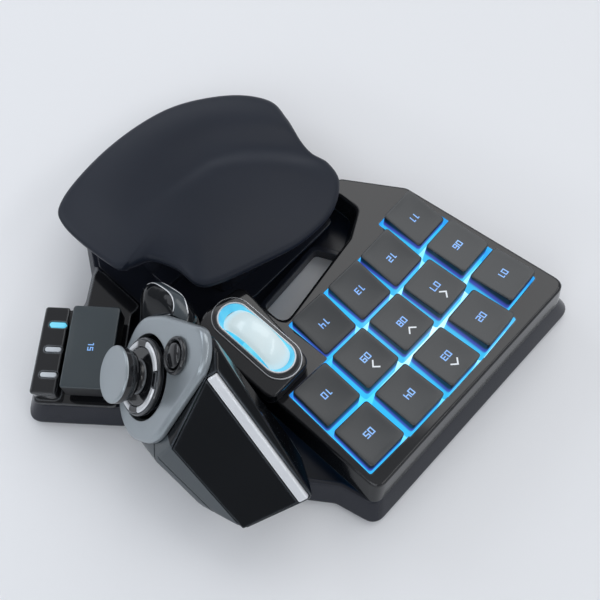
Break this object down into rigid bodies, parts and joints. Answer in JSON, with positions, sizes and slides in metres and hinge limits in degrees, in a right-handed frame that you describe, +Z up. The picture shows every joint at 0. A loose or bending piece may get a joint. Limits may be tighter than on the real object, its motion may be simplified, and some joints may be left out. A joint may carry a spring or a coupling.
{
  "type": "gaming keypad",
  "caption": "One-handed gaming keypad: lit staggered keys, a raised thumb pod with a stick and button, a scroll wheel, a thumb key wing and a sliding palm rest.",
  "frame": {"origin": "middle of the footprint, on the desk", "axes": "+Y points away from the user, +X to the thumb side, +Z up"},
  "size_m": [0.1752, 0.1822, 0.0634],
  "materials": {
    "gloss_black": "piano black, polished",
    "shell_black": "fine satin grain",
    "key_black": "fine matt grain",
    "soft_touch": "soft-touch coating, matt",
    "satin_blue": "satin blue-grey lacquer",
    "chrome": "polished plating",
    "steel": "fine brushed",
    "glow_blue": "clear light guide, lit blue",
    "glow_white": "translucent silicone, lit white-blue",
    "lamp_white": "frosted light pipe",
    "board_green": "circuit board laminate",
    "dark_rubber": "matt black"
  },
  "bodies": {
    "base": {"base_shell": "shell_black", "cable_gland": "dark_rubber", "case_screw_1": "steel", "case_screw_2": "steel", "case_screw_3": "steel", "case_screw_4": "steel", "dome_mat": "dark_rubber", "gimbal_cradle": "key_black", "light_guide": "glow_blue", "main_board": "board_green", "palm_track": "shell_black", "pod_face_plate": "satin_blue", "pod_lower_shell": "satin_blue", "pod_neck": "gloss_black", "pod_silver_strip": "chrome", "pod_top_cover": "gloss_black", "pod_upper_shell": "satin_blue", "rubber_foot_1": "dark_rubber", "rubber_foot_2": "dark_rubber", "rubber_foot_3": "dark_rubber", "rubber_foot_4": "dark_rubber", "rubber_foot_5": "dark_rubber", "rubber_foot_6": "dark_rubber", "state_light_pipe": "lamp_white", "state_panel": "gloss_black", "thumb_board": "board_green", "thumb_button_ring": "gloss_black", "thumb_key_dome": "dark_rubber", "top_shell": "gloss_black", "wheel_bezel": "chrome", "wheel_deck": "gloss_black", "wheel_switch": "dark_rubber", "wing_cover": "gloss_black"},
    "key_01": {"key_01": "key_black"},
    "key_02": {"key_02": "key_black"},
    "key_03": {"key_03": "key_black"},
    "key_04": {"key_04": "key_black"},
    "key_05": {"key_05": "key_black"},
    "key_06": {"key_06": "key_black"},
    "key_07": {"key_07": "key_black"},
    "key_08": {"key_08": "key_black"},
    "key_09": {"key_09": "key_black"},
    "key_10": {"key_10": "key_black"},
    "key_11": {"key_11": "key_black"},
    "key_12": {"key_12": "key_black"},
    "key_13": {"key_13": "key_black"},
    "key_14": {"key_14": "key_black"},
    "key_15": {"key_15": "key_black"},
    "wheel_cradle": {"wheel_cradle": "key_black"},
    "wheel": {"wheel_tyre": "glow_white", "wheel_hub": "key_black", "wheel_axle": "steel"},
    "gimbal_ring": {"gimbal_ring": "steel"},
    "thumb_stick": {"thumb_pad": "key_black", "thumb_pad_ring": "chrome", "thumbstick_cap": "satin_blue"},
    "thumb_button": {"thumb_button": "key_black"},
    "palm_rest": {"palm_pad": "soft_touch", "palm_carrier": "shell_black"},
    "palm_latch": {"palm_latch": "satin_blue"}
  },
  "joints": [
    {"name": "key_01_press", "type": "slide", "parent": "base", "child": "key_01", "axis": [0, 0, -1], "range_m": [0, 0.003], "stiffness_N_per_m": 220, "springref_m": -0.001, "deforming": ["dome_mat"]},
    {"name": "key_02_press", "type": "slide", "parent": "base", "child": "key_02", "axis": [0, 0, -1], "range_m": [0, 0.003], "stiffness_N_per_m": 220, "springref_m": -0.001, "deforming": ["dome_mat"]},
    {"name": "key_03_press", "type": "slide", "parent": "base", "child": "key_03", "axis": [0, 0, -1], "range_m": [0, 0.003], "stiffness_N_per_m": 220, "springref_m": -0.001, "deforming": ["dome_mat"]},
    {"name": "key_04_press", "type": "slide", "parent": "base", "child": "key_04", "axis": [0, 0, -1], "range_m": [0, 0.003], "stiffness_N_per_m": 220, "springref_m": -0.001, "deforming": ["dome_mat"]},
    {"name": "key_05_press", "type": "slide", "parent": "base", "child": "key_05", "axis": [0, 0, -1], "range_m": [0, 0.003], "stiffness_N_per_m": 220, "springref_m": -0.001, "deforming": ["dome_mat"]},
    {"name": "key_06_press", "type": "slide", "parent": "base", "child": "key_06", "axis": [0, 0, -1], "range_m": [0, 0.003], "stiffness_N_per_m": 220, "springref_m": -0.001, "deforming": ["dome_mat"]},
    {"name": "key_07_press", "type": "slide", "parent": "base", "child": "key_07", "axis": [0, 0, -1], "range_m": [0, 0.003], "stiffness_N_per_m": 220, "springref_m": -0.001, "deforming": ["dome_mat"]},
    {"name": "key_08_press", "type": "slide", "parent": "base", "child": "key_08", "axis": [0, 0, -1], "range_m": [0, 0.003], "stiffness_N_per_m": 220, "springref_m": -0.001, "deforming": ["dome_mat"]},
    {"name": "key_09_press", "type": "slide", "parent": "base", "child": "key_09", "axis": [0, 0, -1], "range_m": [0, 0.003], "stiffness_N_per_m": 220, "springref_m": -0.001, "deforming": ["dome_mat"]},
    {"name": "key_10_press", "type": "slide", "parent": "base", "child": "key_10", "axis": [0, 0, -1], "range_m": [0, 0.003], "stiffness_N_per_m": 220, "springref_m": -0.001, "deforming": ["dome_mat"]},
    {"name": "key_11_press", "type": "slide", "parent": "base", "child": "key_11", "axis": [0, 0, -1], "range_m": [0, 0.003], "stiffness_N_per_m": 220, "springref_m": -0.001, "deforming": ["dome_mat"]},
    {"name": "key_12_press", "type": "slide", "parent": "base", "child": "key_12", "axis": [0, 0, -1], "range_m": [0, 0.003], "stiffness_N_per_m": 220, "springref_m": -0.001, "deforming": ["dome_mat"]},
    {"name": "key_13_press", "type": "slide", "parent": "base", "child": "key_13", "axis": [0, 0, -1], "range_m": [0, 0.003], "stiffness_N_per_m": 220, "springref_m": -0.001, "deforming": ["dome_mat"]},
    {"name": "key_14_press", "type": "slide", "parent": "base", "child": "key_14", "axis": [0, 0, -1], "range_m": [0, 0.003], "stiffness_N_per_m": 220, "springref_m": -0.001, "deforming": ["dome_mat"]},
    {"name": "key_15_press", "type": "slide", "parent": "base", "child": "key_15", "axis": [0, 0, -1], "range_m": [0, 0.003], "stiffness_N_per_m": 220, "springref_m": -0.001, "deforming": ["thumb_key_dome"]},
    {"name": "wheel_click", "type": "slide", "parent": "base", "child": "wheel_cradle", "axis": [0, 0, -1], "range_m": [0, 0.0005], "stiffness_N_per_m": 2500, "springref_m": -0.0004},
    {"name": "wheel_spin", "type": "hinge", "parent": "wheel_cradle", "child": "wheel", "pos_m": [0.01456, 0.01662, 0.0199], "axis": [1, 0, 0], "continuous": true},
    {"name": "stick_rock", "type": "hinge", "parent": "base", "child": "gimbal_ring", "pos_m": [0.04862, 0.00324, 0.03165], "axis": [-0.1677, 0.7007, 0.6935], "range_deg": [-6, 6], "stiffness_Nm_per_rad": 0.15},
    {"name": "stick_sway", "type": "hinge", "parent": "gimbal_ring", "child": "thumb_stick", "pos_m": [0.04862, 0.00324, 0.03165], "axis": [-0.7638, -0.5371, 0.3579], "range_deg": [-6, 6], "stiffness_Nm_per_rad": 0.15},
    {"name": "thumb_button_press", "type": "slide", "parent": "base", "child": "thumb_button", "axis": [-0.6233, 0.4697, -0.6252], "range_m": [0, 0.001], "stiffness_N_per_m": 500, "springref_m": -0.0006},
    {"name": "palm_rest_slide", "type": "slide", "parent": "base", "child": "palm_rest", "axis": [0, -1, 0], "range_m": [0, 0.014]},
    {"name": "palm_latch_press", "type": "slide", "parent": "palm_rest", "child": "palm_latch", "axis": [-1, 0, 0], "range_m": [0, 0.002], "stiffness_N_per_m": 400, "springref_m": -0.0008}
  ]
}
